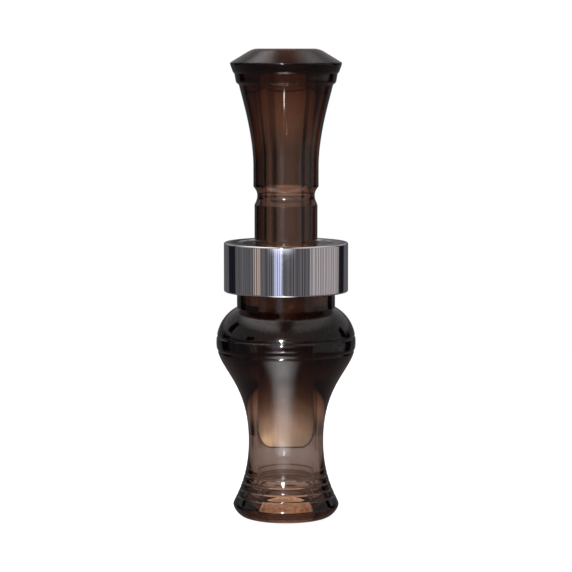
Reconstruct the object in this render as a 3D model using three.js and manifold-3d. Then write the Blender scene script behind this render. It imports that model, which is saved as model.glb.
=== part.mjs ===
// Duck call: a turned acrylic barrel with an aluminium band, and an acrylic insert that
// carries the tone board, reed and cork wedge. Millimetres, +Z up. The origin is the centre
// of the mouthpiece's end face, +Z runs along the bore, and the reed faces -Y.

import * as THREE from 'three';
import { mergeVertices } from 'three/addons/utils/BufferGeometryUtils.js';
import Module from 'manifold-3d';

const wasm = await Module();
wasm.setup();

// Driving dimensions
const BORE_R = 7.94;            // 5/8 inch bore, straight through the barrel
const SOCKET_R = 8.65;          // wider socket for the insert's tenon
const SOCKET_FLOOR = 65.9;
const LIP_R = 14.5;             // widest point of the mouthpiece
const LIP_Z = 3.4;
const LIP_FLAT_R = 11.3;        // outer edge of the flat end face
const WAIST_R = 10.25;
const WAIST_Z = 20.8;
const BULGE_R = 19.05;          // turned from 1 1/2 inch rod
const BULGE_Z = 48.2;
const BULGE_ARC_R = 9.55;       // the bulge's top is an elliptical arc of this half width
const BULGE_ARC_ANGLE = 1.15;
const NECK_R = 13.4;
const NECK_LENGTH = 4.31;
const SHOULDER_Z = 62.0;        // the band seats on this shoulder
const BARREL_TENON_R = 12.7;    // 1 inch tenon inside the band
const BARREL_TOP = 75.4;
const LIP_ROUND = 1.35;         // how far each curve runs straight before it turns
const LIP_REACH = 1.05;
const FLARE_REACH = 10.9;
const WAIST_REACH = 16.9;
const BULGE_REACH = 7.5;

// Fine turned lines round the mouthpiece and the bulge
const FLARE_LINES = [5.9, 7.8, 9.7, 11.6];
const BULGE_LINES = [45.9, 49.9];
const LINE_WIDTH = 0.7;
const LINE_DEPTH = 0.2;

const BAND_R = 16.95;
const BAND_TOP = 75.55;
const FIT = 0.05;               // radial or end gap between pieces that touch

const INSERT_TENON_R = 8.58;
const INSERT_BASE = 66.0;
const TENON_EASE = 0.4;
const LANYARD_LOW = 85.7;       // the lanyard groove has a rounded floor
const LANYARD_Z = 88.3;
const LANYARD_HIGH = 90.75;
const LANYARD_R = 7.83;
const LANYARD_REACH = 1.0;
const LANYARD_EASE = 0.3;
const GRIP_R = 8.88;
const GRIP_TOP = 96.0;          // the grip flares into the bell from here
const GRIP_REACH = 9.1;
const BELL_R = 12.75;
const BELL_TOP = 118.2;
const BELL_REACH = 3.3;
const BELL_LEAN = 0.75;
const COLLAR_R = 14.0;
const COLLAR_TOP = 121.3;
const COLLAR_REACH = 1.3;
const COLLAR_LEAN = 0.3;
const LEDGE = 0.4;              // each turned ledge steps out and up by this
const RIM_R = 15.15;
const RIM_Z = 123.8;
const RIM_HEIGHT = 0.45;
const CROWN_R = 10.2;           // the cone above the rim ends here
const CROWN_Z = 127.25;
const FACE_R = 7.6;             // flat end face
const TOP_Z = 128.0;
const EXHAUST_R = 4.3;
const EXHAUST_MOUTH_R = 5.5;
const EXHAUST_TAPER = [100, 116];
const MOUTH_ROUND = 0.6;

const RING_WIRE_R = 0.75;       // O-rings of 1.5 mm section
const RING_Z = [68.6, 72.8];
const RING_GROOVE_R = 7.05;
const RING_GROOVE_HALF = 0.95;

const BOARD_R = 7.85;
const BOARD_TIP = 19.0;
const SPIGOT_R = 5.8;           // plugs into the insert's tenon
const SPIGOT_TOP = 75.3;
const BOARD_CORNER = { width: 3.8, height: 5.7 };
const NOTCH_FLOOR = 61.6;       // the reed and wedge butt up towards this face
const NOTCH_MOUTH = 51.6;
const NOTCH_FLOOR_Y = -4.6;     // the notch's roof widens towards its mouth
const NOTCH_MOUTH_Y = -5.1;
const FACING_ROOT_Y = -1.05;    // the facing slopes away from the reed towards the tip
const FACING_TIP_Y = -0.15;
const CHANNEL_R = 3.6;
const CHANNEL_START = 24.5;
const CHANNEL_SLOPE = 0.075;

const REED_THICKNESS = 0.35;
const REED_INNER_Y = -1.15;
const REED_HALF_WIDTH = 7.5;
const REED_TIP = 19.1;
const REED_ROOT = 61.3;
const REED_CORNER = { width: 3.5, height: 5.6 };

const WEDGE_INNER_Y = -1.6;
const WEDGE_LOW = 48.5;
const WEDGE_R = 7.6;
const WEDGE_GAP = 0.1;          // between the wedge and the notch's roof

const CLEAR = 9;                // further out than anything inside the bore
const OVERLAP = 1;              // how far cutting and joining solids run past each other
const SEGMENTS = 40;

// A ring-shaped solid turned about Z. The path runs counter-clockwise in (radius, height):
// up the outside, then down the inside.
function turned(points) {
  const closed = [...points, points[0].clone()];
  return new THREE.LatheGeometry(closed, SEGMENTS).rotateX(Math.PI / 2);
}

// Cuts a fine V-shaped line into the outside of a profile at height z.
function withLine(points, z) {
  const low = z - LINE_WIDTH / 2;
  const high = z + LINE_WIDTH / 2;
  const upper = points.findIndex((p, i) => p.y >= high && points[i - 1]?.y < high);
  const lower = points.findIndex((p, i) => p.y >= low && points[i - 1]?.y < low);
  const radiusAt = (height, i) => {
    const [a, b] = [points[i - 1], points[i]];
    return a.x + (b.x - a.x) * (height - a.y) / (b.y - a.y);
  };
  const lowPoint = new THREE.Vector2(radiusAt(low, lower), low);
  const highPoint = new THREE.Vector2(radiusAt(high, upper), high);
  const root = new THREE.Vector2((lowPoint.x + highPoint.x) / 2 - LINE_DEPTH, z);
  return [...points.slice(0, lower), lowPoint, root, highPoint, ...points.slice(upper)];
}

function makeBarrel() {
  const endEase = 0.5;
  const tenonEase = 0.3;
  const socketEase = 0.4;
  const arcHeight = (SHOULDER_Z - NECK_LENGTH - BULGE_Z) / Math.sin(BULGE_ARC_ANGLE);
  const outside = new THREE.Path();
  outside.moveTo(BORE_R + endEase, 0);
  outside.lineTo(LIP_FLAT_R, 0);
  outside.bezierCurveTo(LIP_FLAT_R + LIP_ROUND, 0, LIP_R, LIP_Z - LIP_ROUND, LIP_R, LIP_Z);
  outside.bezierCurveTo(LIP_R, LIP_Z + LIP_REACH, WAIST_R, WAIST_Z - FLARE_REACH, WAIST_R, WAIST_Z);
  outside.bezierCurveTo(
    WAIST_R, WAIST_Z + WAIST_REACH, BULGE_R, BULGE_Z - BULGE_REACH, BULGE_R, BULGE_Z,
  );
  outside.absellipse(
    BULGE_R - BULGE_ARC_R, BULGE_Z, BULGE_ARC_R, arcHeight, 0, BULGE_ARC_ANGLE, false,
  );
  outside.lineTo(NECK_R, SHOULDER_Z);
  outside.lineTo(BARREL_TENON_R, SHOULDER_Z);
  outside.lineTo(BARREL_TENON_R, BARREL_TOP - tenonEase);
  outside.lineTo(BARREL_TENON_R - tenonEase, BARREL_TOP);
  const inside = [
    [SOCKET_R + socketEase, BARREL_TOP],
    [SOCKET_R, BARREL_TOP - socketEase],
    [SOCKET_R, SOCKET_FLOOR],
    [BORE_R, SOCKET_FLOOR],
    [BORE_R, endEase],
  ].map(([r, z]) => new THREE.Vector2(r, z));
  const profile = [...FLARE_LINES, ...BULGE_LINES].reduce(withLine, outside.getPoints(8));
  return turned([...profile, ...inside]);
}

function makeBand() {
  const low = SHOULDER_Z + FIT;
  const bore = BARREL_TENON_R + FIT;
  const chamfer = 0.5;
  const ease = 0.25;
  return turned([
    [bore, low],
    [BAND_R - chamfer, low],
    [BAND_R, low + chamfer],
    [BAND_R, BAND_TOP - chamfer],
    [BAND_R - chamfer, BAND_TOP],
    [bore + ease, BAND_TOP],
    [bore, BAND_TOP - ease],
  ].map(([r, z]) => new THREE.Vector2(r, z)));
}

function makeInsert() {
  const outside = new THREE.Path();
  outside.moveTo(SPIGOT_R + FIT, INSERT_BASE);
  outside.lineTo(INSERT_TENON_R - TENON_EASE, INSERT_BASE);
  outside.lineTo(INSERT_TENON_R, INSERT_BASE + TENON_EASE);
  for (const z of RING_Z) {
    outside.lineTo(INSERT_TENON_R, z - RING_GROOVE_HALF);
    outside.lineTo(RING_GROOVE_R, z - RING_GROOVE_HALF);
    outside.lineTo(RING_GROOVE_R, z + RING_GROOVE_HALF);
    outside.lineTo(INSERT_TENON_R, z + RING_GROOVE_HALF);
  }
  outside.lineTo(INSERT_TENON_R, LANYARD_LOW);
  outside.bezierCurveTo(
    LANYARD_R + LANYARD_EASE, LANYARD_LOW + LANYARD_REACH,
    LANYARD_R, LANYARD_Z - LANYARD_REACH, LANYARD_R, LANYARD_Z,
  );
  outside.bezierCurveTo(
    LANYARD_R, LANYARD_Z + LANYARD_REACH,
    LANYARD_R + LANYARD_EASE, LANYARD_HIGH - LANYARD_REACH, GRIP_R, LANYARD_HIGH,
  );
  // Bell and collar, each ending in a turned ledge, then the rim
  outside.lineTo(GRIP_R, GRIP_TOP);
  outside.bezierCurveTo(
    GRIP_R, GRIP_TOP + GRIP_REACH, BELL_R - BELL_LEAN, BELL_TOP - BELL_REACH, BELL_R, BELL_TOP,
  );
  outside.lineTo(BELL_R + LEDGE, BELL_TOP + LEDGE);
  outside.quadraticCurveTo(COLLAR_R - COLLAR_LEAN, COLLAR_TOP - COLLAR_REACH, COLLAR_R, COLLAR_TOP);
  outside.lineTo(COLLAR_R + LEDGE, COLLAR_TOP + LEDGE);
  outside.lineTo(RIM_R, RIM_Z);
  outside.lineTo(RIM_R, RIM_Z + RIM_HEIGHT);
  // Conical crown, eased into the flat end face
  outside.lineTo(CROWN_R, CROWN_Z);
  outside.quadraticCurveTo((CROWN_R + FACE_R) / 2, TOP_Z, FACE_R, TOP_Z);
  // Exhaust bore, slightly wider towards its mouth, down to the spigot's socket
  const [taperLow, taperHigh] = EXHAUST_TAPER;
  outside.lineTo(EXHAUST_MOUTH_R + MOUTH_ROUND, TOP_Z);
  outside.quadraticCurveTo(EXHAUST_MOUTH_R, TOP_Z, EXHAUST_MOUTH_R, TOP_Z - MOUTH_ROUND);
  outside.lineTo(EXHAUST_MOUTH_R, taperHigh);
  outside.lineTo(EXHAUST_R, taperLow);
  outside.lineTo(EXHAUST_R, SPIGOT_TOP + 2 * FIT);
  outside.lineTo(SPIGOT_R + FIT, SPIGOT_TOP + 2 * FIT);
  return turned(outside.getPoints(5));
}

function makeORing() {
  const ringR = RING_GROOVE_R + FIT + RING_WIRE_R;
  return new THREE.TorusGeometry(ringR, RING_WIRE_R, 8, SEGMENTS);
}

// A prism whose (y, z) outline runs across the call along X.
function prismAlongX(outline, halfWidth) {
  const shape = new THREE.Shape(outline.map(([y, z]) => new THREE.Vector2(y, z)));
  const geometry = new THREE.ExtrudeGeometry(shape, { depth: 2 * halfWidth, bevelEnabled: false });
  const [x, y, z] = [[1, 0, 0], [0, 1, 0], [0, 0, 1]].map((v) => new THREE.Vector3(...v));
  return geometry.translate(0, 0, -halfWidth).applyMatrix4(new THREE.Matrix4().makeBasis(y, z, x));
}

// A plate whose (x, z) outline lies between two values of y.
function plateAlongY(shape, lowY, highY) {
  const geometry = new THREE.ExtrudeGeometry(shape, {
    depth: highY - lowY, bevelEnabled: false, curveSegments: 8,
  });
  return geometry.rotateX(Math.PI / 2).translate(0, highY, 0);
}

// The reed-shaped outline in (x, z): straight sides and elliptical corners at the tip.
function tongueShape(halfWidth, tipZ, rootZ, { width, height }) {
  const shape = new THREE.Shape();
  const cornerZ = tipZ + height;
  const tipHalf = halfWidth - width;
  shape.moveTo(halfWidth, rootZ);
  shape.lineTo(-halfWidth, rootZ);
  shape.absellipse(-tipHalf, cornerZ, width, height, Math.PI, 1.5 * Math.PI, false);
  shape.absellipse(tipHalf, cornerZ, width, height, 1.5 * Math.PI, 2 * Math.PI, false);
  return shape;
}

function toSolid(geometry) {
  const bare = geometry.index ? geometry.clone() : geometry;
  bare.deleteAttribute('normal');
  bare.deleteAttribute('uv');
  const merged = mergeVertices(bare, 1e-4);
  return new wasm.Manifold(new wasm.Mesh({
    numProp: 3,
    vertProperties: new Float32Array(merged.attributes.position.array),
    triVerts: new Uint32Array(merged.index.array),
  }));
}

function toGeometry(solid) {
  const mesh = solid.getMesh();
  const geometry = new THREE.BufferGeometry();
  geometry.setAttribute('position', new THREE.BufferAttribute(mesh.vertProperties, 3));
  geometry.setIndex(new THREE.BufferAttribute(mesh.triVerts, 1));
  geometry.computeVertexNormals();
  return geometry;
}

// A plain cylinder along Z from lowZ to highZ.
function rod(radius, lowZ, highZ) {
  const geometry = new THREE.CylinderGeometry(radius, radius, highZ - lowZ, SEGMENTS);
  return geometry.rotateX(Math.PI / 2).translate(0, 0, (lowZ + highZ) / 2);
}

function makeToneBoard() {
  const body = toSolid(rod(BOARD_R, BOARD_TIP, INSERT_BASE - FIT));
  const spigot = toSolid(rod(SPIGOT_R, INSERT_BASE - OVERLAP, SPIGOT_TOP));

  // Everything in front of the facing, with the wedge's notch reaching up under the bridge
  const facingSlope = (FACING_TIP_Y - FACING_ROOT_Y) / (NOTCH_FLOOR - BOARD_TIP);
  const front = toSolid(prismAlongX([
    [-CLEAR, BOARD_TIP - OVERLAP],
    [-CLEAR, NOTCH_MOUTH],
    [NOTCH_MOUTH_Y, NOTCH_MOUTH],
    [NOTCH_FLOOR_Y, NOTCH_FLOOR],
    [FACING_ROOT_Y, NOTCH_FLOOR],
    [FACING_TIP_Y + facingSlope * OVERLAP, BOARD_TIP - OVERLAP],
  ], CLEAR));

  // The sound channel is a round cut that deepens from its start into the exhaust hole
  const channelTop = NOTCH_FLOOR + 2 * OVERLAP;
  const channel = toSolid(rod(CHANNEL_R, CHANNEL_START - channelTop, 0)
    .rotateX(-Math.atan(CHANNEL_SLOPE))
    .translate(0, 0, channelTop));
  const exhaust = toSolid(rod(CHANNEL_R, NOTCH_FLOOR - OVERLAP, SPIGOT_TOP + OVERLAP));

  const tipShape = tongueShape(BOARD_R + FIT, BOARD_TIP, SPIGOT_TOP + OVERLAP, BOARD_CORNER);
  const tip = toSolid(plateAlongY(tipShape, -CLEAR, CLEAR));

  const board = body.add(spigot).subtract(front).subtract(channel).subtract(exhaust);
  return toGeometry(board.intersect(tip));
}

function makeReed() {
  const shape = tongueShape(REED_HALF_WIDTH, REED_TIP, REED_ROOT, REED_CORNER);
  return plateAlongY(shape, REED_INNER_Y - REED_THICKNESS, REED_INNER_Y);
}

function makeWedge() {
  const block = toSolid(prismAlongX([
    [NOTCH_MOUTH_Y + WEDGE_GAP, WEDGE_LOW],
    [NOTCH_MOUTH_Y + WEDGE_GAP, NOTCH_MOUTH],
    [NOTCH_FLOOR_Y + WEDGE_GAP, REED_ROOT],
    [WEDGE_INNER_Y, REED_ROOT],
    [WEDGE_INNER_Y, WEDGE_LOW],
  ], CLEAR));
  const round = toSolid(rod(WEDGE_R, WEDGE_LOW - OVERLAP, REED_ROOT + OVERLAP));
  return toGeometry(block.intersect(round));
}

const MATERIALS = {
  smokeAcrylic: { color: 0x3a2a22, roughness: 0.06, metalness: 0, transparent: true, opacity: 0.7 },
  aluminium: { color: 0xb9bcc2, roughness: 0.12, metalness: 1 },
  boardAcrylic: { color: 0x6b5a4e, roughness: 0.15, metalness: 0, transparent: true, opacity: 0.7 },
  mylar: { color: 0xc9bcae, roughness: 0.3, metalness: 0, transparent: true, opacity: 0.6 },
  cork: { color: 0xb88a5a, roughness: 0.9, metalness: 0 },
  rubber: { color: 0x141414, roughness: 0.7, metalness: 0 },
};

const duckCall = new THREE.Group();

function addPiece(name, geometry, material, parent = duckCall) {
  const mesh = new THREE.Mesh(geometry, new THREE.MeshStandardMaterial(MATERIALS[material]));
  mesh.name = name;
  parent.add(mesh);
  return mesh;
}

addPiece('barrel', makeBarrel(), 'smokeAcrylic');
addPiece('band', makeBand(), 'aluminium');
addPiece('insert', makeInsert(), 'smokeAcrylic');
addPiece('tone_board', makeToneBoard(), 'boardAcrylic');
addPiece('reed', makeReed(), 'mylar');
addPiece('wedge', makeWedge(), 'cork');
['lower_o_ring', 'upper_o_ring'].forEach((name, i) => {
  addPiece(name, makeORing(), 'rubber').position.z = RING_Z[i];
});

export default duckCall;
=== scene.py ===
"""Duck call: polished smoke-brown acrylic barrel and insert, an aluminium band, and the tone board,
reed, cork wedge and O-rings that show through the acrylic.

Objects are in metres, in the frame's own axes: +Z runs along the bore and the reed faces -Y.
Turned profiles are drawn in millimetres, as (radius, height), and lathe() turns them into metres.
"""

import math

import bmesh
import bpy
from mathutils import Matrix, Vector


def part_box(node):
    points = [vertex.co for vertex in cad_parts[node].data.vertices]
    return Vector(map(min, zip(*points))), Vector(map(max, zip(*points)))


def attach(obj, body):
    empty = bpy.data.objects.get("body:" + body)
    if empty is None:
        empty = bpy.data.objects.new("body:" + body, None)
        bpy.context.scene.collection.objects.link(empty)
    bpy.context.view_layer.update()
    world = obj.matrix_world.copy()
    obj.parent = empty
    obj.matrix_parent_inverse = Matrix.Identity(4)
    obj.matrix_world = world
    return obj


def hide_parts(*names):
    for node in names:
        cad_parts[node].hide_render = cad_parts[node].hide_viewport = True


MM = 0.001


def clear_defaults():
    for name in ("Cube", "Light", "Camera"):
        if name in bpy.data.objects:
            bpy.data.objects.remove(bpy.data.objects[name])


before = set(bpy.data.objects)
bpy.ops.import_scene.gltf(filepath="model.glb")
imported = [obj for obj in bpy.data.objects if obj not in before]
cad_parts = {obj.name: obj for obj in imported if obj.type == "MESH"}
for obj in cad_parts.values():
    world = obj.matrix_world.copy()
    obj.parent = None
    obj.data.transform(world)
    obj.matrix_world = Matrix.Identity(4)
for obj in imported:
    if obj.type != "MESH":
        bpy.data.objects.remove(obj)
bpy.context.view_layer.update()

# ---------------------------------------------------------------- sizes from the frame


def node_box(node):
    """(lowest, highest) corner of a CAD node, in millimetres."""
    low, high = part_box(node)
    return low / MM, high / MM


barrel_low, barrel_high = node_box("barrel")
band_low, band_high = node_box("band")
insert_low, insert_high = node_box("insert")
board_low, board_high = node_box("tone_board")
reed_low, reed_high = node_box("reed")
wedge_low, wedge_high = node_box("wedge")

FIT = 0.05                      # gap between pieces that touch

# Barrel
BULGE_R = barrel_high.x
BARREL_TOP = barrel_high.z
BORE_R = 7.94
SOCKET_R = 8.65
SOCKET_FLOOR = 65.9
LIP_R, LIP_Z = 14.5, 3.4
LIP_FLAT_R = 11.3
WAIST_R, WAIST_Z = 10.25, 20.8
BULGE_Z = 48.2
BULGE_ARC_R = 9.55              # the bulge's top is an elliptical arc of this half width
BULGE_ARC_ANGLE = 1.15
NECK_R = 13.4
NECK_LENGTH = 4.31
SHOULDER_Z = band_low.z - FIT
BARREL_TENON_R = 12.7
LIP_ROUND = 1.35                # how far each curve runs straight before it turns
LIP_REACH = 1.05
FLARE_REACH = 10.9
WAIST_REACH = 16.9
BULGE_REACH = 7.5
FLARE_LINES = (5.9, 7.8, 9.7, 11.6)
FLARE_LINE_DEPTH, FLARE_LINE_WIDTH = 0.18, 0.7
BULGE_LINES = (45.9, 49.9)
BULGE_LINE_DEPTH, BULGE_LINE_WIDTH = 0.2, 1.1
BORE_MIDDLE_Z = 40              # a ring of points that shortens the bore's long faces
NECK_ROUND = 0.15               # how far each corner is rounded off
TENON_FOOT_ROUND, TENON_TOP_ROUND = 0.1, 0.4
SOCKET_MOUTH_ROUND, SOCKET_FLOOR_ROUND = 0.5, 0.2
BORE_STEP_ROUND, BORE_MOUTH_ROUND = 0.15, 0.7

# Band
BAND_ROUND = 0.55
BAND_BORE_FOOT_ROUND, BAND_BORE_TOP_ROUND = 0.2, 0.3

# Insert
TOP_Z = insert_high.z
RIM_R = insert_high.x
INSERT_BASE = insert_low.z
INSERT_TENON_R = 8.58
TENON_EASE = 0.4
LANYARD_LOW, LANYARD_Z, LANYARD_HIGH = 85.7, 88.3, 90.75
LANYARD_R = 7.83
LANYARD_LEAN, LANYARD_REACH = 0.3, 1.0
LANYARD_ROUND = 0.25
GRIP_R, GRIP_TOP = 8.88, 96.0
GRIP_REACH = 9.1
BELL_R, BELL_TOP = 12.75, 118.2
BELL_LEAN, BELL_REACH = 0.75, 3.3
COLLAR_R, COLLAR_TOP = 14.0, 121.3
COLLAR_LEAN, COLLAR_REACH = 0.3, 1.3
LEDGE = 0.4
LEDGE_ROUND = 0.25
RIM_Z, RIM_HEIGHT = 123.8, 0.45
CROWN_R, CROWN_Z = 10.2, 127.25
CROWN_REACH, CROWN_DROP = 0.9, 0.2
FACE_R, FACE_REACH = 7.6, 0.8
EXHAUST_R, EXHAUST_MOUTH_R = 4.3, 5.5
TAPER_LOW, TAPER_HIGH = 100.0, 116.0
MOUTH_ROUND = 0.6
SPIGOT_HOLE_ROUND = 0.1

# O-rings and their grooves
O_RINGS = ("lower_o_ring", "upper_o_ring")
RING_WIRE_R = 0.75
RING_GROOVE_R = 7.05
RING_GROOVE_HALF = 0.95
GROOVE_LIP_ROUND, GROOVE_FLOOR_ROUND = 0.1, 0.15

# Tone board
BOARD_R = board_high.x
BOARD_TIP = board_low.z
SPIGOT_R, SPIGOT_TOP = 5.8, board_high.z
NOTCH_FLOOR, NOTCH_MOUTH = 61.6, 51.6
NOTCH_FLOOR_Y, NOTCH_MOUTH_Y = -4.6, -5.1
FACING_ROOT_Y, FACING_TIP_Y = -1.05, -0.15
CHANNEL_R, CHANNEL_START, CHANNEL_SLOPE = 3.6, 24.5, 0.075
BOARD_CORNER = (3.8, 5.7)       # width and height of the tip's elliptical corners
REED_CORNER = (3.5, 5.6)
WEDGE_R = 7.6
WEDGE_GAP = 0.1
BOARD_EDGE, REED_EDGE, WEDGE_EDGE = 0.12, 0.14, 0.25

CLEAR = 9.0                     # further out than anything inside the bore
OVERLAP = 1.0                   # how far cutting and joining solids run past each other

SEGMENTS = 192
CURVE_STEPS = 48
EASED_STEPS = 6
MOST_OF_EDGE = 0.45             # the part of an edge that one rounded corner may take
LINE_STEPS = 10
TIP_STEPS = 16
RING_SEGMENTS = 28
ROD_SEGMENTS = 96
FLOOR_SEGMENTS = 96
SHARP_ANGLE = math.radians(35)

# ---------------------------------------------------------------- profiles and meshes


class Profile:
    """A turned outline drawn from point to point, as (radius, height) or, for a corner that
    eased() rounds off, (radius, height, how far).
    """

    def __init__(self, *start):
        self.points = [start]

    def line(self, r, z):
        self.points.append((r, z))

    def curve(self, *ends):
        """A cubic Bezier from the last point: two handles and an end point."""
        p0 = self.points[-1]
        p1, p2, p3 = ends
        for i in range(1, CURVE_STEPS + 1):
            t = i / CURVE_STEPS
            weights = ((1 - t) ** 3, 3 * t * (1 - t) ** 2, 3 * t * t * (1 - t), t ** 3)
            self.points.append(tuple(
                sum(w * p[k] for w, p in zip(weights, (p0, p1, p2, p3))) for k in (0, 1)
            ))

    def arc(self, centre, half_width, half_height, start, end):
        for i in range(1, CURVE_STEPS + 1):
            a = start + (end - start) * i / CURVE_STEPS
            self.points.append((
                centre[0] + half_width * math.cos(a), centre[1] + half_height * math.sin(a),
            ))

    def corner(self, r, z, how_far):
        self.points.append((r, z, how_far))


def eased(points):
    """Rounds off the corner points of a closed outline."""
    result = []
    for i, point in enumerate(points):
        if len(point) == 2:
            result.append(point)
            continue
        corner = Vector(point[:2])
        before = Vector(points[i - 1][:2]) - corner
        after = Vector(points[(i + 1) % len(points)][:2]) - corner
        start = corner + before.normalized() * min(point[2], before.length * MOST_OF_EDGE)
        end = corner + after.normalized() * min(point[2], after.length * MOST_OF_EDGE)
        for k in range(EASED_STEPS + 1):
            t = k / EASED_STEPS
            p = start * (1 - t) ** 2 + corner * 2 * t * (1 - t) + end * t * t
            result.append((p.x, p.y))
    return result


def with_line(points, z, depth, width):
    """Turns a fine cove into a rising outline, round height z."""
    low, high = z - width / 2, z + width / 2

    def radius_at(height):
        for a, b in zip(points, points[1:]):
            if a[1] <= height < b[1]:
                return a[0] + (b[0] - a[0]) * (height - a[1]) / (b[1] - a[1])
        raise ValueError(f"the outline has no height {height}")

    cove = []
    for k in range(LINE_STEPS + 1):
        height = low + width * k / LINE_STEPS
        cut = depth * math.sin(math.pi * k / LINE_STEPS) ** 2
        cove.append((radius_at(height) - cut, height))
    below, above = (
        next(i for i, (a, b) in enumerate(zip(points, points[1:])) if a[1] <= height < b[1])
        for height in (low, high)
    )
    return points[:below + 1] + cove + points[above + 1:]


def make_object(name, bm):
    mesh = bpy.data.meshes.new(name)
    bmesh.ops.recalc_face_normals(bm, faces=bm.faces)
    bm.to_mesh(mesh)
    bm.free()
    mesh.shade_smooth()
    mesh.set_sharp_from_angle(angle=SHARP_ANGLE)
    piece = bpy.data.objects.new(name, mesh)
    bpy.context.scene.collection.objects.link(piece)
    return piece


def lathe(name, outline):
    """A ring-shaped solid from a closed outline in millimetres, which runs up the outside."""
    bm = bmesh.new()
    rings = []
    for r, z in outline:
        rings.append([
            bm.verts.new((
                r * MM * math.cos(2 * math.pi * s / SEGMENTS),
                r * MM * math.sin(2 * math.pi * s / SEGMENTS),
                z * MM,
            ))
            for s in range(SEGMENTS)
        ])
    for i, ring in enumerate(rings):
        above = rings[(i + 1) % len(rings)]
        for s in range(SEGMENTS):
            t = (s + 1) % SEGMENTS
            bm.faces.new((ring[s], ring[t], above[t], above[s]))
    return make_object(name, bm)


def stand_for(piece, node, body, material):
    """Makes the piece replace a CAD node and move with its body."""
    piece.data.materials.append(material)
    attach(piece, body)
    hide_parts(node)


# ---------------------------------------------------------------- pieces


def barrel_outline():
    arc_height = (SHOULDER_Z - NECK_LENGTH - BULGE_Z) / math.sin(BULGE_ARC_ANGLE)
    outside = Profile(LIP_FLAT_R, 0)
    outside.curve((LIP_FLAT_R + LIP_ROUND, 0), (LIP_R, LIP_Z - LIP_ROUND), (LIP_R, LIP_Z))
    outside.curve(
        (LIP_R, LIP_Z + LIP_REACH), (WAIST_R, WAIST_Z - FLARE_REACH), (WAIST_R, WAIST_Z),
    )
    outside.curve(
        (WAIST_R, WAIST_Z + WAIST_REACH), (BULGE_R, BULGE_Z - BULGE_REACH), (BULGE_R, BULGE_Z),
    )
    outside.arc(
        (BULGE_R - BULGE_ARC_R, BULGE_Z), BULGE_ARC_R, arc_height, 0, BULGE_ARC_ANGLE,
    )
    points = outside.points
    for z in FLARE_LINES:
        points = with_line(points, z, FLARE_LINE_DEPTH, FLARE_LINE_WIDTH)
    for z in BULGE_LINES:
        points = with_line(points, z, BULGE_LINE_DEPTH, BULGE_LINE_WIDTH)
    rest = Profile(NECK_R, SHOULDER_Z, NECK_ROUND)
    rest.corner(BARREL_TENON_R, SHOULDER_Z, TENON_FOOT_ROUND)
    rest.corner(BARREL_TENON_R, BARREL_TOP, TENON_TOP_ROUND)
    rest.corner(SOCKET_R, BARREL_TOP, SOCKET_MOUTH_ROUND)
    rest.corner(SOCKET_R, SOCKET_FLOOR, SOCKET_FLOOR_ROUND)
    rest.corner(BORE_R, SOCKET_FLOOR, BORE_STEP_ROUND)
    rest.line(BORE_R, BORE_MIDDLE_Z)
    rest.corner(BORE_R, 0, BORE_MOUTH_ROUND)
    return eased(points + rest.points)


def make_barrel(material):
    stand_for(lathe("turned_barrel", barrel_outline()), "barrel", "barrel", material)


def make_band(material):
    bore = BARREL_TENON_R + FIT
    low, high = band_low.z, band_high.z
    radius = band_high.x
    outline = Profile(bore, low, BAND_BORE_FOOT_ROUND)
    outline.corner(radius, low, BAND_ROUND)
    outline.corner(radius, high, BAND_ROUND)
    outline.corner(bore, high, BAND_BORE_TOP_ROUND)
    stand_for(
        lathe("turned_band", eased(outline.points)), "band", "barrel", material,
    )


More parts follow.
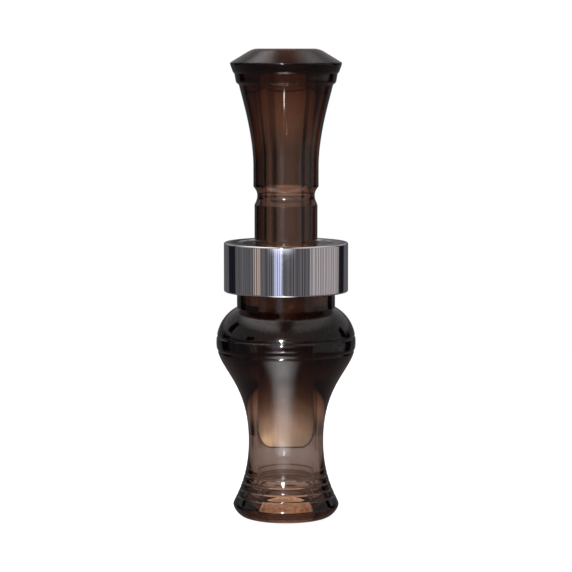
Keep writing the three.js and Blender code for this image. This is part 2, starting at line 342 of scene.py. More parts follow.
def insert_outline():
    outline = Profile(SPIGOT_R + FIT, INSERT_BASE)
    outline.corner(INSERT_TENON_R, INSERT_BASE, TENON_EASE)
    for name in O_RINGS:
        low, high = node_box(name)
        z = (low.z + high.z) / 2
        outline.corner(INSERT_TENON_R, z - RING_GROOVE_HALF, GROOVE_LIP_ROUND)
        outline.corner(RING_GROOVE_R, z - RING_GROOVE_HALF, GROOVE_FLOOR_ROUND)
        outline.corner(RING_GROOVE_R, z + RING_GROOVE_HALF, GROOVE_FLOOR_ROUND)
        outline.corner(INSERT_TENON_R, z + RING_GROOVE_HALF, GROOVE_LIP_ROUND)
    outline.corner(INSERT_TENON_R, LANYARD_LOW, LANYARD_ROUND)
    outline.curve(
        (LANYARD_R + LANYARD_LEAN, LANYARD_LOW + LANYARD_REACH),
        (LANYARD_R, LANYARD_Z - LANYARD_REACH),
        (LANYARD_R, LANYARD_Z),
    )
    outline.curve(
        (LANYARD_R, LANYARD_Z + LANYARD_REACH),
        (LANYARD_R + LANYARD_LEAN, LANYARD_HIGH - LANYARD_REACH),
        (GRIP_R, LANYARD_HIGH),
    )
    outline.line(GRIP_R, GRIP_TOP)
    outline.curve(
        (GRIP_R, GRIP_TOP + GRIP_REACH), (BELL_R - BELL_LEAN, BELL_TOP - BELL_REACH),
        (BELL_R, BELL_TOP),
    )
    outline.corner(BELL_R + LEDGE, BELL_TOP + LEDGE, LEDGE_ROUND)
    outline.curve(
        (COLLAR_R - COLLAR_LEAN, COLLAR_TOP - 2 * COLLAR_REACH),
        (COLLAR_R - COLLAR_LEAN, COLLAR_TOP - COLLAR_REACH),
        (COLLAR_R, COLLAR_TOP),
    )
    outline.corner(COLLAR_R + LEDGE, COLLAR_TOP + LEDGE, LEDGE_ROUND)
    outline.corner(RIM_R, RIM_Z, LEDGE_ROUND)
    outline.corner(RIM_R, RIM_Z + RIM_HEIGHT, LEDGE_ROUND)
    outline.line(CROWN_R, CROWN_Z)
    outline.curve(
        (CROWN_R - CROWN_REACH, TOP_Z - CROWN_DROP), (FACE_R + FACE_REACH, TOP_Z), (FACE_R, TOP_Z),
    )
    outline.corner(EXHAUST_MOUTH_R, TOP_Z, MOUTH_ROUND)
    outline.line(EXHAUST_MOUTH_R, TAPER_HIGH)
    outline.line(EXHAUST_R, TAPER_LOW)
    outline.corner(EXHAUST_R, SPIGOT_TOP + 2 * FIT, SPIGOT_HOLE_ROUND)
    outline.corner(SPIGOT_R + FIT, SPIGOT_TOP + 2 * FIT, SPIGOT_HOLE_ROUND)
    return eased(outline.points)


def make_insert(material):
    stand_for(lathe("turned_insert", insert_outline()), "insert", "insert", material)


def circle(radius, steps, centre=(0, 0)):
    angles = (2 * math.pi * i / steps for i in range(steps))
    return [(centre[0] + radius * math.cos(a), centre[1] + radius * math.sin(a)) for a in angles]


def make_o_rings(material):
    for name in O_RINGS:
        low, high = node_box(name)
        centre = (high.x - RING_WIRE_R, (low.z + high.z) / 2)
        outline = circle(RING_WIRE_R, RING_SEGMENTS, centre)
        stand_for(lathe(name + "_seal", outline), name, "rings", material)


def extruded(name, outline, thickness, place):
    """A closed prism: outline's points (u, v), swept by thickness; place(u, v, w) gives (x, y, z)."""
    bm = bmesh.new()
    faces = [
        [bm.verts.new([c * MM for c in place(u, v, w)]) for u, v in outline]
        for w in (0, thickness)
    ]
    for face in faces:
        bm.faces.new(face)
    count = len(outline)
    for i in range(count):
        j = (i + 1) % count
        bm.faces.new((faces[0][i], faces[0][j], faces[1][j], faces[1][i]))
    return make_object(name, bm)


def rod(name, radius, low, high, lean=0.0):
    """A cylinder along Z, or leaning back from its top by a slope."""
    return extruded(name, circle(radius, ROD_SEGMENTS), high - low, lambda u, v, w: (
        u, v + lean * (high - low - w), low + w,
    ))


def tongue(half_width, tip, root, corner):
    """The outline of a reed in (x, z): straight sides and elliptical corners at the tip."""
    width, height = corner
    left = [
        (-half_width + width - width * math.cos(a), tip + height - height * math.sin(a))
        for a in (math.pi / 2 * i / TIP_STEPS for i in range(TIP_STEPS + 1))
    ]
    right = [(-x, z) for x, z in reversed(left)]
    return [(half_width, root), (-half_width, root), *left, *right]


def combine(piece, tool, operation):
    modifier = piece.modifiers.new(operation, "BOOLEAN")
    modifier.operation = operation
    modifier.object = tool
    modifier.solver = "EXACT"
    settle(piece)
    bpy.data.objects.remove(tool)


def settle(piece):
    """Applies the modifiers to the mesh."""
    graph = bpy.context.evaluated_depsgraph_get()
    mesh = bpy.data.meshes.new_from_object(piece.evaluated_get(graph))
    piece.modifiers.clear()
    piece.data = mesh


def ease_edges(piece, width, segments=2, angle=30):
    bevel = piece.modifiers.new("eased_edges", "BEVEL")
    bevel.width = width * MM
    bevel.segments = segments
    bevel.limit_method = "ANGLE"
    bevel.angle_limit = math.radians(angle)
    settle(piece)
    piece.data.shade_smooth()
    piece.data.set_sharp_from_angle(angle=SHARP_ANGLE)


def across_x(name, outline, half_width):
    """A prism whose (y, z) outline runs across the call."""
    return extruded(name, outline, 2 * half_width, lambda u, v, w: (w - half_width, u, v))


def across_y(name, outline, low, high):
    """A plate whose (x, z) outline lies between two values of y."""
    return extruded(name, outline, high - low, lambda u, v, w: (u, low + w, v))


def make_tone_board(material):
    board = rod("turned_tone_board", BOARD_R, BOARD_TIP, INSERT_BASE - FIT)
    combine(board, rod("spigot", SPIGOT_R, INSERT_BASE - OVERLAP, SPIGOT_TOP), "UNION")
    slope = (FACING_TIP_Y - FACING_ROOT_Y) / (NOTCH_FLOOR - BOARD_TIP)
    front = [
        (-CLEAR, BOARD_TIP - OVERLAP),
        (-CLEAR, NOTCH_MOUTH),
        (NOTCH_MOUTH_Y, NOTCH_MOUTH),
        (NOTCH_FLOOR_Y, NOTCH_FLOOR),
        (FACING_ROOT_Y, NOTCH_FLOOR),
        (FACING_TIP_Y + slope * OVERLAP, BOARD_TIP - OVERLAP),
    ]
    combine(board, across_x("front", front, CLEAR), "DIFFERENCE")
    top = NOTCH_FLOOR + 2 * OVERLAP
    channel = rod("channel", CHANNEL_R, CHANNEL_START, top, -CHANNEL_SLOPE)
    combine(board, channel, "DIFFERENCE")
    exhaust = rod("exhaust", CHANNEL_R, NOTCH_FLOOR - OVERLAP, SPIGOT_TOP + OVERLAP)
    combine(board, exhaust, "DIFFERENCE")
    outline = tongue(BOARD_R + FIT, BOARD_TIP, SPIGOT_TOP + OVERLAP, BOARD_CORNER)
    combine(board, across_y("tip", outline, -CLEAR, CLEAR), "INTERSECT")
    ease_edges(board, BOARD_EDGE)
    stand_for(board, "tone_board", "insert", material)


def make_reed(material):
    outline = tongue(reed_high.x, reed_low.z, reed_high.z, REED_CORNER)
    reed = across_y("cut_reed", outline, reed_low.y, reed_high.y)
    ease_edges(reed, REED_EDGE)
    stand_for(reed, "reed", "reed", material)


def make_wedge(material):
    low, high = wedge_low, wedge_high
    outline = [
        (NOTCH_MOUTH_Y + WEDGE_GAP, low.z),
        (NOTCH_MOUTH_Y + WEDGE_GAP, NOTCH_MOUTH),
        (NOTCH_FLOOR_Y + WEDGE_GAP, high.z),
        (high.y, high.z),
        (high.y, low.z),
    ]
    wedge = across_x("cork_wedge", outline, CLEAR)
    combine(wedge, rod("bore", WEDGE_R, low.z - OVERLAP, high.z + OVERLAP), "INTERSECT")
    ease_edges(wedge, WEDGE_EDGE)
    stand_for(wedge, "wedge", "wedge", material)


# ---------------------------------------------------------------- materials


class Nodes:
    """Short ways to add linked nodes to a node tree."""

    def __init__(self, tree):
        self.tree = tree

    def add(self, kind, **inputs):
        node = self.tree.nodes.new("ShaderNode" + kind)
        for name, value in inputs.items():
            self.feed(node.inputs[name.replace("_", " ")], value)
        return node

    def feed(self, socket, value):
        """Links a socket to an output (or to a node's first output), or sets its constant."""
        if isinstance(value, bpy.types.Node):
            value = value.outputs[0]
        if isinstance(value, bpy.types.NodeSocket):
            self.tree.links.new(value, socket)
        elif isinstance(value, tuple) and len(value) == 3 and socket.type == "RGBA":
            socket.default_value = (*value, 1)
        else:
            socket.default_value = value

    def grey(self, value):
        return self.add("CombineColor", Red=value, Green=value, Blue=value)

    def length(self, vector):
        node = self.tree.nodes.new("ShaderNodeVectorMath")
        node.operation = "LENGTH"
        self.feed(node.inputs[0], vector)
        return node.outputs["Value"]

    def product(self, first, *others):
        for other in others:
            first = self.math("MULTIPLY", first, other)
        return first

    def math(self, operation, *values):
        node = self.tree.nodes.new("ShaderNodeMath")
        node.operation = operation
        for i, value in enumerate(values):
            self.feed(node.inputs[i], value)
        return node.outputs[0]

    def mix(self, factor, a, b, blend="MIX"):
        node = self.tree.nodes.new("ShaderNodeMix")
        node.data_type = "RGBA"
        node.blend_type = blend
        self.feed(node.inputs["Factor"], factor)
        for name, value in (("A", a), ("B", b)):
            self.feed(next(s for s in node.inputs if s.name == name and s.type == "RGBA"), value)
        return next(s for s in node.outputs if s.type == "RGBA")

    def ramp(self, factor, stops):
        node = self.tree.nodes.new("ShaderNodeValToRGB")
        elements = node.color_ramp.elements
        for i, (position, colour) in enumerate(stops):
            element = elements[i] if i < 2 else elements.new(position)
            element.position = position
            element.color = (*colour, 1)
        self.feed(node.inputs["Fac"], factor)
        return node.outputs["Color"]

    def step(self, value, start, end, low=0.0, high=1.0):
        """A smooth step of value from low at start to high at end."""
        node = self.tree.nodes.new("ShaderNodeMapRange")
        node.interpolation_type = "SMOOTHSTEP"
        for name, number in (("From Min", start), ("From Max", end), ("To Min", low), ("To Max", high)):
            node.inputs[name].default_value = number
        self.feed(node.inputs["Value"], value)
        return node.outputs["Result"]


def shader(name, **inputs):
    """A node material with a Principled shader; returns (material, its Nodes, the shader)."""
    material = bpy.data.materials.new(name)
    material.use_nodes = True
    principled = material.node_tree.nodes["Principled BSDF"]
    for socket, value in inputs.items():
        principled.inputs[socket.replace("_", " ")].default_value = value
    return material, Nodes(material.node_tree), principled


def add_turning(n, principled, lines_per_mm, depth, roughness, spread, across=60):
    """Fine turning marks round Z: a bump this many mm deep, and an uneven roughness."""
    place = n.add("TexCoord").outputs["Object"]
    squashed = n.add("Mapping", Vector=place, Scale=(across, across, 1000 * lines_per_mm))
    marks = n.add("TexNoise", Vector=squashed, Scale=1.0, Detail=3.0).outputs["Fac"]
    bump = n.add("Bump", Height=marks, Distance=depth * MM, Strength=1.0)
    n.feed(principled.inputs["Normal"], bump)
    uneven = n.add("MapRange", From_Min=0.3, From_Max=0.7, To_Min=roughness, To_Max=roughness + spread)
    n.feed(uneven.inputs["Value"], marks)
    n.feed(principled.inputs["Roughness"], uneven)


def acrylic(name, absorbed, roughness=0.035):
    """Clear acrylic that takes this much of red, green and blue away per millimetre."""
    material, n, principled = shader(
        name, Base_Color=(1, 1, 1, 1), Transmission_Weight=1.0, IOR=1.49,
        Coat_Weight=0.25, Coat_Roughness=0.12,
    )
    density = max(absorbed) / MM
    colour = tuple(1 - a / MM / density for a in absorbed)
    volume = n.add("VolumeAbsorption", Color=colour, Density=density)
    n.feed(n.tree.nodes["Material Output"].inputs["Volume"], volume)
    add_turning(n, principled, lines_per_mm=0.5, depth=0.002, roughness=roughness, spread=0.02)
    return material


def aluminium():
    """Bright turned metal: fine rings round Z spread each reflection up and down."""
    material, n, principled = shader(
        "polished_aluminium", Base_Color=(0.86, 0.87, 0.9, 1), Metallic=1.0,
        Anisotropic=1.0, Anisotropic_Rotation=0.25,
    )
    tangent = n.add("Tangent")
    tangent.direction_type = "RADIAL"
    tangent.axis = "Z"
    n.feed(principled.inputs["Tangent"], tangent)
    add_turning(
        n, principled, lines_per_mm=2.0, depth=0.0004, roughness=0.04, spread=0.015, across=700,
    )
    return material


REED_SHADE_LOW, REED_SHADE_HIGH = 5, 16     # painted shade: the film is painted darker between these heights above its tip
# Painted shade: a dark brown line painted along the rounded cut edges at the reed's tip
CUT_EDGE_START, CUT_EDGE_END = 0.88, 0.95   # as parts of the rounded corners' size
TIP_EDGE, SIDE_EDGE_SHARE = 0.3, 0.25       # from this far down the corners the painted dark line is at full strength


def mylar():
    """A milky film, brushed along its length, with painted shade: darker higher up, and a dark line
    painted along the cut edges at its tip.
    """
    material, n, principled = shader("mylar", Transmission_Weight=0.25, IOR=1.5)
    place = n.add("TexCoord").outputs["Object"]
    along = n.add("Mapping", Vector=place, Scale=(2600, 900, 130))
    brushed = n.add("TexNoise", Vector=along, Scale=1.0, Detail=4.0).outputs["Fac"]
    cloud = n.add("TexNoise", Vector=place, Scale=160.0, Detail=2.0).outputs["Fac"]
    film = n.ramp(n.math("MULTIPLY_ADD", brushed, 0.5, n.math("MULTIPLY", cloud, 0.5)), (
        (0.36, (0.74, 0.66, 0.56)), (0.62, (0.94, 0.89, 0.82)),
    ))
    parts = n.add("SeparateXYZ", Vector=place)
    # Painted shade: above its tip the film is painted darker, standing in for the shade inside the
    # barrel's bulge.
    low, high = ((reed_low.z + rise) * MM for rise in (REED_SHADE_LOW, REED_SHADE_HIGH))
    painted_shade_film = n.mix(1.0, film, (0.45, 0.45, 0.48), "MULTIPLY")
    film = n.mix(n.step(parts.outputs["Z"], low, high), film, painted_shade_film)
    # Painted shade: a dark line along the rounded edges of the tip.
    width, height = (size * MM for size in REED_CORNER)
    aside = n.math("SUBTRACT", n.math("ABSOLUTE", parts.outputs["X"]), reed_high.x * MM - width)
    below = n.math("SUBTRACT", reed_low.z * MM + height, parts.outputs["Z"])
    aside = n.math("DIVIDE", n.math("MAXIMUM", aside, 0.0), width)
    below = n.math("DIVIDE", n.math("MAXIMUM", below, 0.0), height)
    squares = n.math("ADD", n.math("MULTIPLY", aside, aside), n.math("MULTIPLY", below, below))
    near_edge = n.step(n.math("SQRT", squares), CUT_EDGE_START, CUT_EDGE_END)
    near_tip = n.step(below, 0.0, TIP_EDGE, SIDE_EDGE_SHARE, 1.0)
    edge = n.math("MULTIPLY", near_edge, near_tip)
    n.feed(principled.inputs["Base Color"], n.mix(edge, film, (0.1, 0.06, 0.04)))
    n.feed(principled.inputs["Roughness"], n.step(brushed, 0.3, 0.7, 0.3, 0.42))
    bump = n.add("Bump", Height=brushed, Distance=0.006 * MM, Strength=1.0)
    n.feed(principled.inputs["Normal"], bump)
    return material


def cork():
    """Pressed brown grains with small dark pits."""
    material, n, principled = shader("cork", Roughness=0.85)
    place = n.add("TexCoord").outputs["Object"]
    grains = n.add("TexVoronoi", Vector=place, Scale=1700.0)
    specks = n.add("TexNoise", Vector=place, Scale=2600.0, Detail=3.0)
    brown = n.ramp(grains.outputs["Color"], (
        (0.0, (0.24, 0.12, 0.055)), (0.5, (0.36, 0.21, 0.1)), (1.0, (0.46, 0.3, 0.16)),
    ))
    pitted = n.step(specks.outputs["Fac"], 0.36, 0.42)
    n.feed(principled.inputs["Base Color"], n.mix(pitted, (0.12, 0.055, 0.03), brown))
    height = n.math("ADD", pitted, n.math("MULTIPLY", grains.outputs["Distance"], -0.6))
    bump = n.add("Bump", Height=height, Distance=0.06 * MM, Strength=0.8)
    n.feed(principled.inputs["Normal"], bump)
    return material


def rubber():
    """Black rubber with a faint uneven bloom."""
    material, n, principled = shader("seal_rubber")
    place = n.add("TexCoord").outputs["Object"]
    bloom = n.add("TexNoise", Vector=place, Scale=400.0, Detail=3.0)
    n.feed(principled.inputs["Base Color"], n.ramp(bloom.outputs["Fac"], (
        (0.3, (0.012, 0.012, 0.012)), (0.7, (0.03, 0.029, 0.028)),
    )))
    n.feed(principled.inputs["Roughness"], n.step(bloom.outputs["Fac"], 0.3, 0.7, 0.4, 0.6))
    return material


# ---------------------------------------------------------------- studio

EYE_DISTANCE, EYE_HEIGHT = 0.640, 0.129
AIM_HEIGHT = 0.0635
LENS, SENSOR_WIDTH = 148.3, 36
CLIP_START = 0.01
MOST_BOUNCES, CLEAR_BOUNCES = 28, 24        # light crosses many acrylic walls

# A dim grey room round the object, with a few broad panels: degrees from the camera's side
# (+ towards +X), width in degrees, and brightness.
ROOM = (0.1, 0.095, 0.1)
ROOM_PANELS = (
    (-120, 25, (0.01, 0.01, 0.015)),    # doorway
    (-55, 15, (0.35, 0.27, 0.24)),      # cupboard
    (-15, 15, (0.5, 0.53, 0.72)),       # cool light
    (80, 70, (0.35, 0.31, 0.31)),       # pale wall
    (125, 20, (0.01, 0.01, 0.015)),     # doorway
)
PANEL_EDGE = 0.1                # how softly a panel ends, in radians
STREAK_SCALE = 170.0            # fine upright streaks over the whole room
STREAK_LOW, STREAK_HIGH = 0.25, 1.75

# How the room lights the inside of the acrylic: (degrees round, brightness)
SOFT_SURROUND = (
    (-180, (0.34, 0.36, 0.4)),
    (-167, (0.34, 0.36, 0.4)),
    (-165, (0.02, 0.02, 0.03)),
    (-140, (0.02, 0.02, 0.03)),
    (-138, (0.4, 0.38, 0.38)),
    (-96, (0.45, 0.42, 0.42)),
    (-84, (1.4, 1.25, 1.05)),
    (-32, (1.6, 1.45, 1.2)),
    (-16, (1.2, 1.2, 1.2)),
    (30, (1.1, 1.1, 1.1)),
    (60, (0.8, 0.75, 0.7)),
    (98, (0.4, 0.37, 0.35)),
    (101, (0.02, 0.01, 0.02)),
    (128, (0.02, 0.01, 0.02)),
    (131, (0.36, 0.37, 0.4)),
    (180, (0.32, 0.35, 0.4)),
)
# The same higher up
SOFT_SKY = (
    (-180, (1.1, 1.05, 1.0)),
    (-167, (1.1, 1.05, 1.0)),
    (-164, (0.05, 0.05, 0.06)),
    (-141, (0.05, 0.05, 0.06)),
    (-138, (1.1, 1.05, 1.0)),
    (98, (1.1, 1.05, 1.0)),
    (101, (0.05, 0.04, 0.05)),
    (128, (0.05, 0.04, 0.05)),
    (131, (1.1, 1.05, 1.0)),
    (180, (1.1, 1.05, 1.0)),
)
SKY = (1.1, 1.05, 1.0)
SKY_SHARE = 0.45
CEILING_LEFT, CEILING_RIGHT = (1.4, 1.3, 1.3), (0.8, 0.74, 0.74)
CEILING_MIDDLE = (0.12, 0.11, 0.11)
UPPER_WALL = (0.3, 0.28, 0.28)
TABLE = (0.13, 0.1, 0.1)

# Where each of these gives way to the next, in degrees up from level
TABLE_TO_WALL = (-20, -13)
WALL_TO_UPPER_WALL = (6, 14)
UPPER_WALL_TO_CEILING = (35, 55)
GLARE_FOOT, GLARE_TOP = (-1, 1), (10, 5)
SOFT_TO_SKY_IN_FRONT, SOFT_TO_SKY_BEHIND = (14, 40), (0, 14)

# And across the room, as parts of a direction's length
LEFT_TO_RIGHT = (-0.2, 0.2)
CEILING_GAP = (0.05, 0.28)
FRONT_TO_BEHIND = (-0.1, 0.1)

# Dark shapes in the room: (degrees round, width, elevation, height)
DARK_SHAPES = ((-116, 16, 25, 22), (-64, 16, 17, 12), (114, 14, 15, 18))
SHAPE_COLOUR = (0.01, 0.01, 0.012)
SHAPE_EDGE, SHAPE_EDGE_UP = 0.03, 2         # how softly they end: radians round, degrees up

FLASH_AZIMUTH = -8
GLARE_HALF = 30                 # half the width of the glare, in degrees round
GLARE_FULL = 0.1                # the part of that half over which it has its full strength
NEAR_GLARE_HALF = 37.5
GLARE_COLOUR = (1.3, 1.35, 1.45)
WHITE = (1.0, 1.0, 1.0)
FLOOR_R = 0.36
# Painted light: how the floor glows through the acrylic, in rings that stand in for the light on the
# table round and under the call: (millimetres from the axis, colour)
FLOOR_GLOW = (
    (0, (0.8, 0.58, 0.4)),
    (7.8, (0.8, 0.58, 0.4)),
    (8.2, (1.3, 1.05, 0.85)),
    (14.5, (1.3, 1.05, 0.85)),
    (15, (2.0, 2.6, 3.2)),
    (21, (1.8, 2.4, 3.0)),
    (24, (0.02, 0.02, 0.02)),
    (29, (0.02, 0.02, 0.02)),
    (34, (0.4, 0.46, 0.54)),
    (55, (0.36, 0.42, 0.5)),
    (90, (0.26, 0.31, 0.37)),
    (200, (0.36, 0.38, 0.42)),
    (360, (0.36, 0.38, 0.42)),
)
NEAR_FLOOR, FAR_FLOOR = 90, 130             # from here to here the room's colours take over
FLOOR_SHADE = 0.38              # how much darker the floor's painted glow is than the room's soft light
MOTTLE_SCALE = 800.0            # painted light: the floor's glow is mottled under the call, like caustics
MOTTLE_LOW, MOTTLE_HIGH = 0.45, 1.55
MOTTLE_START, MOTTLE_END = 15, 25
FLOOR_SEEN = (0.95, 0.95, 0.95)             # the floor itself, as the camera shows it

# How strong the painted glare on the floor is: (millimetres from the axis, strength)
GLARE_REACH = (
    (0, 0),
    (24, 0),
    (31, 3),
    (60, 3),
    (75, 1.7),
    (100, 1.9),
    (120, 3.4),
    (240, 3.4),
    (360, 3),
)
NEAR_GLARE = 66                 # mm; within this the glare is wider
# From these distances outwards it shows only at a slant: (millimetres, facing at none, at full)
SLANTED_GLARE = ((90, 0.68, 0.78), (240, 0.885, 0.91))
FLOOR_DROP = 0.0002             # keeps the floor clear of the barrel's own end

# A small bright lamp by the camera, and a weak one near the floor (metres and watts)
FLASH_SIZE, FLASH_POWER = 0.035, 5.0
FLASH_DISTANCE, FLASH_HEIGHT = 0.6, 0.225
GLINT_SIZE, GLINT_POWER = 0.01, 0.004
GLINT_AZIMUTH, GLINT_DISTANCE, GLINT_HEIGHT = FLASH_AZIMUTH + 3, 0.2, 0.003
# Lamps inside the bore, for the light that the acrylic gathers on the reed: name, watts, colour, and
# the place as parts of the bore's radius aside and in front, and mm above the board's tip.
BORE_LAMPS = (
    ("bore_pool", 0.00008, (1.0, 0.9, 0.82), 0.3, 0.78, 3.5),
    ("bore_spot", 0.00004, (1.0, 0.8, 0.45), 0.68, 0.42, 2.5),
)
BORE_LAMP_SIZE = 0.3            # as a part of the bore's radius


def turn_round(n, parts):
    """The angle round Z of a separated vector, from the camera's side, + towards +X."""
    return n.math("ARCTAN2", parts.outputs["X"], n.math("MULTIPLY", parts.outputs["Y"], -1.0))


def whole_turn(n, turn):
    """The same angle as 0 to 1, with the camera's side at 0.5."""
    return n.math("ADD", n.math("DIVIDE", turn, 2 * math.pi), 0.5)


def round_ramp(n, place, stops):
    """Colours by the angle round: stops are (degrees, colour) and place is a whole_turn()."""
    return n.ramp(place, [(degrees / 360 + 0.5, colour) for degrees, colour in stops])


def out_ramp(n, place, stops):
    """Colours by the distance from Z: stops are (millimetres, colour) and place is 0 to 1."""
    return n.ramp(place, [(r * MM / FLOOR_R, colour) for r, colour in stops])


def glare_across(n, turn, half_width=GLARE_HALF):
    """How strong the glare is at this turn from the camera's side: 1 in its middle, 0 outside."""
    middle, half = math.radians(FLASH_AZIMUTH), math.radians(half_width)
    away = n.math("ABSOLUTE", n.math("SUBTRACT", turn, middle))
    return n.step(away, half, half * GLARE_FULL)


def make_world():
    """A dim room in reflections, a brighter and softer one through the acrylic, white behind."""
    world = bpy.data.worlds.new("studio")
    world.use_nodes = True
    bpy.context.scene.world = world
    world.node_tree.nodes.clear()
    n = Nodes(world.node_tree)
    parts = n.add("SeparateXYZ", Vector=n.add("TexCoord").outputs["Generated"])
    turn = turn_round(n, parts)
    place = whole_turn(n, turn)

    def elevation(start, end):
        low, high = (math.sin(math.radians(a)) for a in (start, end))
        return n.step(parts.outputs["Z"], low, high)

    def between(middle, width, inwards, outwards):
        """1 inside this sector and 0 outside, with soft sides this far in and out, in radians."""
        start, end = (math.radians(middle + side * width / 2) for side in (-1, 1))
        rise = n.step(turn, start - outwards, start + inwards)
        fall = n.step(turn, end + outwards, end - inwards)
        return n.math("MULTIPLY", rise, fall)

    panels = ROOM
    for degrees, width, colour in ROOM_PANELS:
        panels = n.mix(between(degrees, width, PANEL_EDGE / 2, PANEL_EDGE / 2), panels, colour)
    streaks = n.add("TexNoise", Vector=n.add("CombineXYZ", X=place), Scale=STREAK_SCALE, Detail=3.0)
    uneven = n.step(streaks.outputs["Fac"], 0.36, 0.64, STREAK_LOW, STREAK_HIGH)
    panels = n.mix(1.0, panels, n.grey(uneven), "MULTIPLY")

    hard = n.mix(elevation(*TABLE_TO_WALL), TABLE, panels)
    hard = n.mix(elevation(*WALL_TO_UPPER_WALL), hard, UPPER_WALL)
    ceiling = n.mix(n.step(parts.outputs["X"], *LEFT_TO_RIGHT), CEILING_LEFT, CEILING_RIGHT)
    aside = n.math("ABSOLUTE", parts.outputs["X"])
    ceiling = n.mix(n.step(aside, *CEILING_GAP), CEILING_MIDDLE, ceiling)
    hard = n.mix(elevation(*UPPER_WALL_TO_CEILING), hard, ceiling)
    glare = n.product(glare_across(n, turn), elevation(*GLARE_FOOT), elevation(*GLARE_TOP))
    hard = n.mix(glare, hard, GLARE_COLOUR)
    for degrees, width, up, height in DARK_SHAPES:
        low, high = up - height / 2, up + height / 2
        sides = between(degrees, width, SHAPE_EDGE, 0)
        ends = (elevation(low, low + SHAPE_EDGE_UP), elevation(high, high - SHAPE_EDGE_UP))
        hard = n.mix(n.product(sides, *ends), hard, SHAPE_COLOUR)

    behind = n.step(parts.outputs["Y"], *FRONT_TO_BEHIND)
    above = n.mix(behind, elevation(*SOFT_TO_SKY_IN_FRONT), elevation(*SOFT_TO_SKY_BEHIND))
    overhead = n.mix(SKY_SHARE, round_ramp(n, place, SOFT_SKY), SKY)
    soft = n.mix(above, round_ramp(n, place, SOFT_SURROUND), overhead)
    rays = n.add("LightPath")
    seen = n.mix(rays.outputs["Is Transmission Ray"], hard, soft)
    seen = n.mix(rays.outputs["Is Camera Ray"], seen, WHITE)
    output = n.add("OutputWorld")
    n.feed(output.inputs["Surface"], n.add("Background", Color=seen))


def add_lamp(name, size, power, colour=WHITE):
    data = bpy.data.lights.new(name, "AREA")
    data.shape = "DISK"
    data.size = size
    data.energy = power
    data.color = colour
    lamp = bpy.data.objects.new(name, data)
    bpy.context.scene.collection.objects.link(lamp)
    lamp.visible_camera = False
    return lamp


def aim(thing):
    """Turns a lamp or a camera towards the middle of the object."""
    look = Vector((0, 0, AIM_HEIGHT)) - thing.location
    thing.rotation_euler = look.to_track_quat("-Z", "Y").to_euler()


def stand_lamp(lamp, degrees, distance, height):
    """Puts a lamp this far round from the camera's side, out from the axis and up."""
    a = math.radians(degrees)
    lamp.location = (distance * math.sin(a), -distance * math.cos(a), height)
    aim(lamp)


def make_lights():
    flash = add_lamp("flash", FLASH_SIZE, FLASH_POWER)
    stand_lamp(flash, FLASH_AZIMUTH, FLASH_DISTANCE, FLASH_HEIGHT)
    flash.visible_diffuse = False
    glint = add_lamp("floor_glint", GLINT_SIZE, GLINT_POWER)
    stand_lamp(glint, GLINT_AZIMUTH, GLINT_DISTANCE, GLINT_HEIGHT)
    for name, power, colour, aside, front, above in BORE_LAMPS:
        lamp = add_lamp(name, BORE_LAMP_SIZE * BORE_R * MM, power, colour)
        lamp.location = (-aside * BORE_R * MM, -front * BORE_R * MM, (BOARD_TIP + above) * MM)
        lamp.rotation_euler = (math.pi / 2, 0, 0)       # it faces the reed, +Y
        lamp.visible_glossy = False
        lamp.visible_transmission = False


def make_disc(name, height):
    bm = bmesh.new()
    bmesh.ops.create_circle(bm, cap_ends=True, segments=FLOOR_SEGMENTS, radius=FLOOR_R)
    disc = make_object(name, bm)
    disc.location.z = height
    return disc


def make_glare_card():
    """A glowing card on the floor in front, which only reflections show: painted glare, standing in for
    the flash's blurred reflection in a glossy table.
    """
    card = make_disc("glare_card", 2 * FLOOR_DROP)
    material = bpy.data.materials.new("glare")
    material.use_nodes = True
    material.node_tree.nodes.clear()
    n = Nodes(material.node_tree)
    place = n.add("TexCoord").outputs["Object"]
    turn = turn_round(n, n.add("SeparateXYZ", Vector=place))
    radius = n.length(place)
    along = out_ramp(n, n.math("DIVIDE", radius, FLOOR_R), [
        (r, (level, level, level)) for r, level in GLARE_REACH
    ])
    facing = n.add("LayerWeight", Blend=0.5).outputs["Facing"]
    seen = WHITE
    for start, none, full in SLANTED_GLARE:
        seen = n.mix(n.math("GREATER_THAN", radius, start * MM), seen, n.step(facing, none, full))
    near = n.math("LESS_THAN", radius, NEAR_GLARE * MM)
    across = n.mix(near, glare_across(n, turn), glare_across(n, turn, NEAR_GLARE_HALF))
    glow = n.add("Emission", Color=(0.95, 0.97, 1.0), Strength=n.product(across, along, seen))
    join = n.tree.nodes.new("ShaderNodeAddShader")
    n.feed(join.inputs[0], glow)
    n.feed(join.inputs[1], n.add("BsdfTransparent"))
    n.feed(n.add("OutputMaterial").inputs["Surface"], join)
    card.data.materials.append(material)
    for kind in ("camera", "diffuse", "transmission", "shadow", "volume_scatter"):
        setattr(card, "visible_" + kind, False)


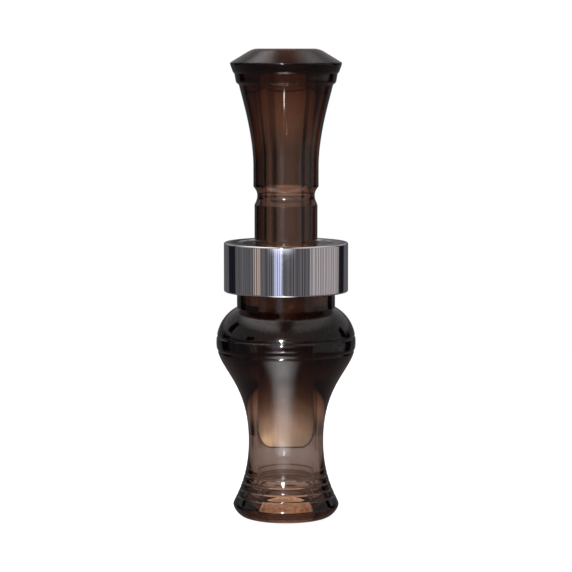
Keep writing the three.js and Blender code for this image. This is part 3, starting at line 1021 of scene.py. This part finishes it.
def make_floor():
    """A plain pale floor, which isn't mirrored. Through the acrylic it shows painted light: an uneven
    glow in rings round the axis, mottled like caustics under the call.
    """
    floor = make_disc("floor", -FLOOR_DROP)
    material, n, principled = shader(
        "pale_floor", Base_Color=(0.6, 0.6, 0.6, 1), Roughness=0.8, Emission_Strength=1.0,
    )
    place = n.add("TexCoord").outputs["Object"]
    out = n.math("DIVIDE", n.length(place), FLOOR_R)
    # Painted light: rays through the acrylic see a glow in rings round the axis.
    glow = out_ramp(n, out, FLOOR_GLOW)
    turn = turn_round(n, n.add("SeparateXYZ", Vector=place))
    room = n.mix(FLOOR_SHADE, round_ramp(n, whole_turn(n, turn), SOFT_SURROUND), (0, 0, 0))
    near, far = (r * MM / FLOOR_R for r in (NEAR_FLOOR, FAR_FLOOR))
    glow = n.mix(n.step(out, near, far), glow, room)
    # Painted caustics: the glow is mottled under the call.
    caustic_noise = n.add("TexNoise", Vector=place, Scale=MOTTLE_SCALE, Detail=4.0)
    painted_caustics = n.grey(n.step(caustic_noise.outputs["Fac"], 0.35, 0.65, MOTTLE_LOW, MOTTLE_HIGH))
    start, end = (r * MM / FLOOR_R for r in (MOTTLE_START, MOTTLE_END))
    glow = n.mix(n.step(out, end, start), glow, n.mix(1.0, glow, painted_caustics, "MULTIPLY"))
    rays = n.add("LightPath")
    n.feed(principled.inputs["Emission Color"], n.mix(rays.outputs["Is Camera Ray"], glow, FLOOR_SEEN))
    floor.data.materials.append(material)
    floor.visible_glossy = False


def make_camera():
    data = bpy.data.cameras.new("camera")
    data.lens = LENS
    data.sensor_width = SENSOR_WIDTH
    data.clip_start = CLIP_START
    camera = bpy.data.objects.new("camera", data)
    bpy.context.scene.collection.objects.link(camera)
    camera.location = (0, -EYE_DISTANCE, EYE_HEIGHT)
    aim(camera)
    bpy.context.scene.camera = camera


clear_defaults()
make_camera()
make_world()
make_lights()
make_glare_card()
make_floor()

smoke = acrylic("smoke_acrylic", (0.2, 0.275, 0.325))
make_barrel(smoke)
make_band(aluminium())
make_insert(smoke)
make_tone_board(acrylic("board_acrylic", (0.02, 0.045, 0.075), roughness=0.1))
make_reed(mylar())
make_wedge(cork())
make_o_rings(rubber())

scene = bpy.context.scene
scene.view_settings.view_transform = "Standard"
scene.cycles.max_bounces = MOST_BOUNCES
scene.cycles.transmission_bounces = CLEAR_BOUNCES
scene.cycles.transparent_max_bounces = CLEAR_BOUNCES
